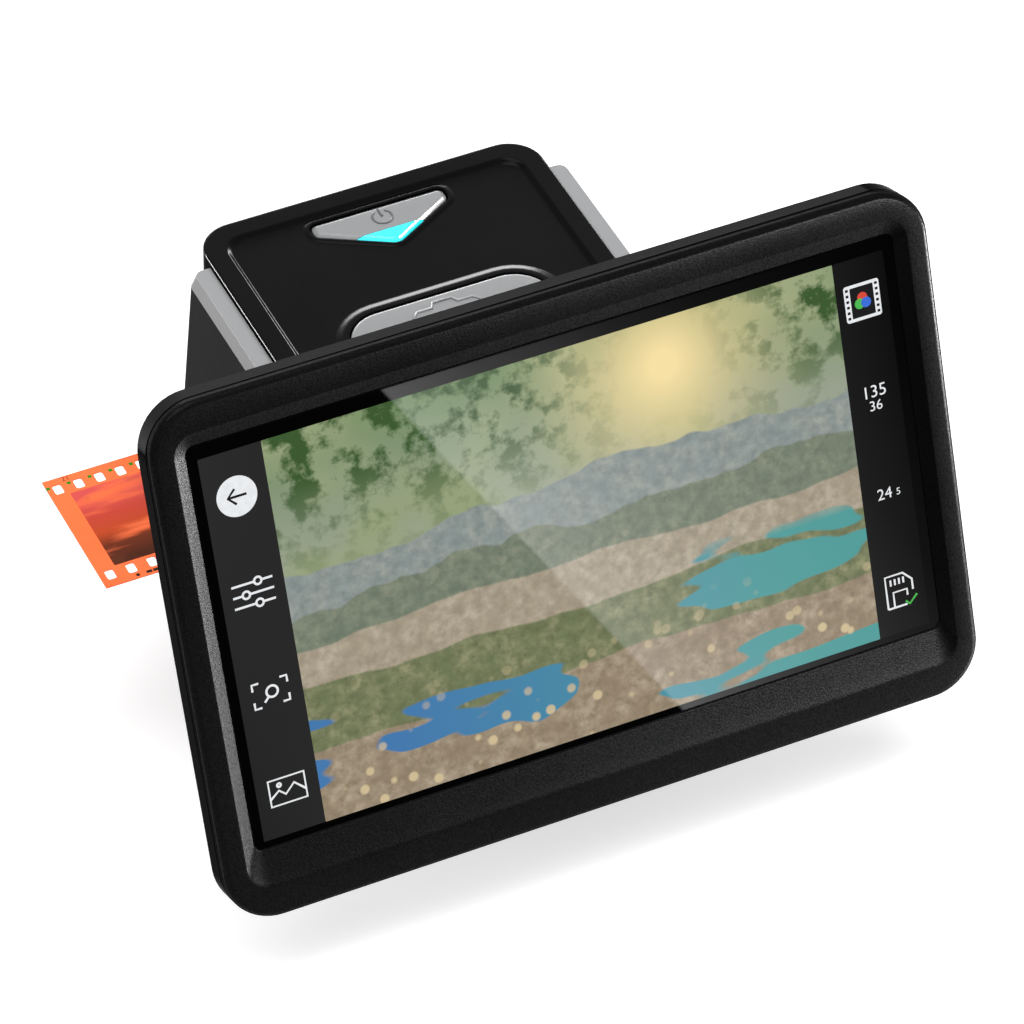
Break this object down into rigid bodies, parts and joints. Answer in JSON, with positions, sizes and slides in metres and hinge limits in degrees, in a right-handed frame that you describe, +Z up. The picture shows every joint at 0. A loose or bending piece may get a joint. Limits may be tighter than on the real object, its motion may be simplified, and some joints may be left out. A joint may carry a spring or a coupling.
{
  "type": "film negative scanner",
  "caption": "Desk-top film scanner: black body with a film tunnel through it, two top buttons and a wide touch display that tilts on a hinge in front.",
  "frame": {"origin": "on the table, below the middle of the film gate", "axes": "+X to the right seen from the display, +Y to the back, +Z up"},
  "size_m": [0.1746, 0.1316, 0.128],
  "materials": {
    "cover_plastic": "fine-grained black plastic",
    "panel_plastic": "smooth black plastic",
    "trim_plastic": "satin grey plastic",
    "button_plastic": "satin silver-grey plastic",
    "lens_plastic": "clear cyan light lens with a white edge",
    "foot_rubber": "matte",
    "steel": "plain",
    "circuit_board": "green solder mask",
    "chip_plastic": "black epoxy",
    "led_plastic": "clear with phosphor",
    "white_plastic": "matte white",
    "diffuser_plastic": "opal",
    "lens_metal": "black anodised",
    "lens_glass": "coated glass",
    "touch_glass": "glossy, with a lit picture under it",
    "lcd_glass": "plain",
    "holder_plastic": "fine grain",
    "film": "orange film base",
    "card_plastic": "dark blue"
  },
  "bodies": {
    "root": {"base_plate": "panel_plastic", "rubber_feet": "foot_rubber", "base_screws": "steel", "main_housing": "cover_plastic", "top_cover": "cover_plastic", "left_side_panel": "panel_plastic", "right_side_panel": "panel_plastic", "left_trim_rail": "trim_plastic", "right_trim_rail": "trim_plastic", "left_hinge_bracket": "steel", "right_hinge_bracket": "steel", "hinge_screws": "steel", "hinge_pins": "steel", "hinge_washers": "steel", "hinge_nuts": "steel", "button_board": "circuit_board", "tact_switches": "chip_plastic", "status_led": "led_plastic", "light_box": "white_plastic", "led_board": "white_plastic", "backlight_leds": "led_plastic", "light_diffuser": "diffuser_plastic", "film_gate_upper": "panel_plastic", "film_gate_lower": "panel_plastic", "gate_screws": "steel", "camera_bracket": "panel_plastic", "sensor_board": "circuit_board", "image_sensor": "chip_plastic", "lens_mount": "chip_plastic", "lens_barrel": "lens_metal", "lens_elements": "lens_glass", "main_board": "circuit_board", "board_chips": "chip_plastic", "board_screws": "steel", "usb_socket": "steel", "hdmi_socket": "steel", "card_socket": "steel"},
    "display": {"display_bezel": "cover_plastic", "touch_glass": "touch_glass", "lcd_panel": "lcd_glass", "backlight_tray": "steel", "display_board": "circuit_board", "display_chips": "chip_plastic", "display_board_screws": "steel", "rear_cover": "cover_plastic", "rear_cover_screws": "steel", "left_hinge_arm": "cover_plastic", "right_hinge_arm": "cover_plastic", "arm_screws": "steel"},
    "power_button": {"power_button": "button_plastic", "power_lens": "lens_plastic"},
    "capture_button": {"capture_button": "button_plastic"},
    "film_holder": {"film_holder_base": "holder_plastic", "film_holder_cover": "holder_plastic"},
    "film_strip": {"film_strip": "film"},
    "memory_card": {"memory_card": "card_plastic"}
  },
  "joints": [
    {"name": "display_tilt", "type": "hinge", "parent": "root", "child": "display", "pos_m": [0, -0.035, 0.082], "axis": [-1, 0, 0], "range_deg": [-21.6, 23.4]},
    {"name": "power_button_press", "type": "slide", "parent": "root", "child": "power_button", "axis": [0, 0, -1], "range_m": [0, 0.0008], "stiffness_N_per_m": 2000},
    {"name": "capture_button_press", "type": "slide", "parent": "root", "child": "capture_button", "axis": [0, 0, -1], "range_m": [0, 0.0008], "stiffness_N_per_m": 2000},
    {"name": "film_holder_slide", "type": "slide", "parent": "root", "child": "film_holder", "axis": [-1, 0, 0], "range_m": [0, 0.095]},
    {"name": "film_feed", "type": "slide", "parent": "film_holder", "child": "film_strip", "axis": [-1, 0, 0], "range_m": [-0.038, 0.038]},
    {"name": "card_eject", "type": "slide", "parent": "root", "child": "memory_card", "axis": [0, 1, 0], "range_m": [0, 0.028]}
  ]
}
